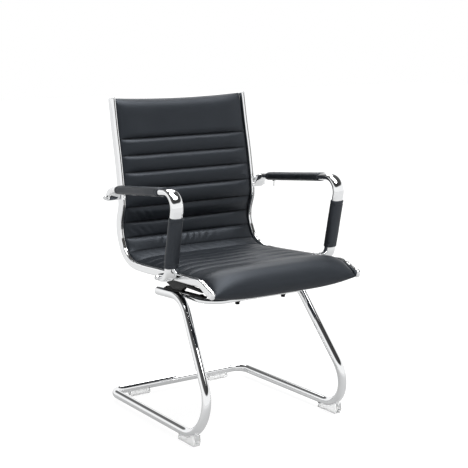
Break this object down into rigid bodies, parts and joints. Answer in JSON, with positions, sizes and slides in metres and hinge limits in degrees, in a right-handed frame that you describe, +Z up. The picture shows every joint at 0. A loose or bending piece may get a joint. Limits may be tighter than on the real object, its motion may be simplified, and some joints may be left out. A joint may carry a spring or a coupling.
{
  "type": "visitor chair",
  "caption": "Cantilever visitor chair with a bent chrome tube base, two continuous side rails, a ribbed leather sling seat and fixed padded arms.",
  "frame": {"origin": "centre of the chair's footprint box, on the floor", "axes": "+Z up, -Y the way the sitter faces, +X the chair's own left-right line towards the viewer's right when seen from the front"},
  "size_m": [0.5952, 0.5972, 0.9276],
  "materials": {
    "chrome": "bright chrome plate on steel tube and rail",
    "cast_chrome": "bright chrome plate on die castings",
    "leather": "smooth blue-black leather with a soft sheen",
    "sleeve_leather": "matt black leather sleeve",
    "black_steel": "black powder coat",
    "black_plastic": "matt black moulded plastic",
    "clear_plastic": "milky translucent moulded plastic"
  },
  "bodies": {
    "root": {"arm_front_foot_left": "cast_chrome", "arm_front_foot_right": "cast_chrome", "arm_front_screw_left": "chrome", "arm_front_screw_right": "chrome", "arm_front_sleeve_left": "sleeve_leather", "arm_front_sleeve_right": "sleeve_leather", "arm_rear_foot_left": "cast_chrome", "arm_rear_foot_right": "cast_chrome", "arm_rear_screw_left": "chrome", "arm_rear_screw_right": "chrome", "arm_top_sleeve_left": "sleeve_leather", "arm_top_sleeve_right": "sleeve_leather", "arm_tube_left": "chrome", "arm_tube_right": "chrome", "base_tube": "chrome", "front_cross_plate": "black_steel", "front_glide_left": "clear_plastic", "front_glide_right": "clear_plastic", "front_stretcher": "chrome", "leather_sling": "leather", "rail_front_cap_left": "cast_chrome", "rail_front_cap_right": "cast_chrome", "rail_top_cap_left": "cast_chrome", "rail_top_cap_right": "cast_chrome", "rear_cross_bar": "black_steel", "rear_glide_left": "clear_plastic", "rear_glide_right": "clear_plastic", "seat_bracket_left": "black_steel", "seat_bracket_right": "black_steel", "side_bar_front_bolt_left": "black_steel", "side_bar_front_bolt_right": "black_steel", "side_bar_left": "black_steel", "side_bar_rear_bolt_left": "black_steel", "side_bar_rear_bolt_right": "black_steel", "side_bar_right": "black_steel", "side_rail_left": "chrome", "side_rail_right": "chrome", "stretcher_bolt_left": "black_steel", "stretcher_bolt_right": "black_steel", "tube_plug_left": "black_plastic", "tube_plug_right": "black_plastic", "zip_pull_left": "chrome", "zip_pull_right": "chrome"}
  },
  "joints": []
}
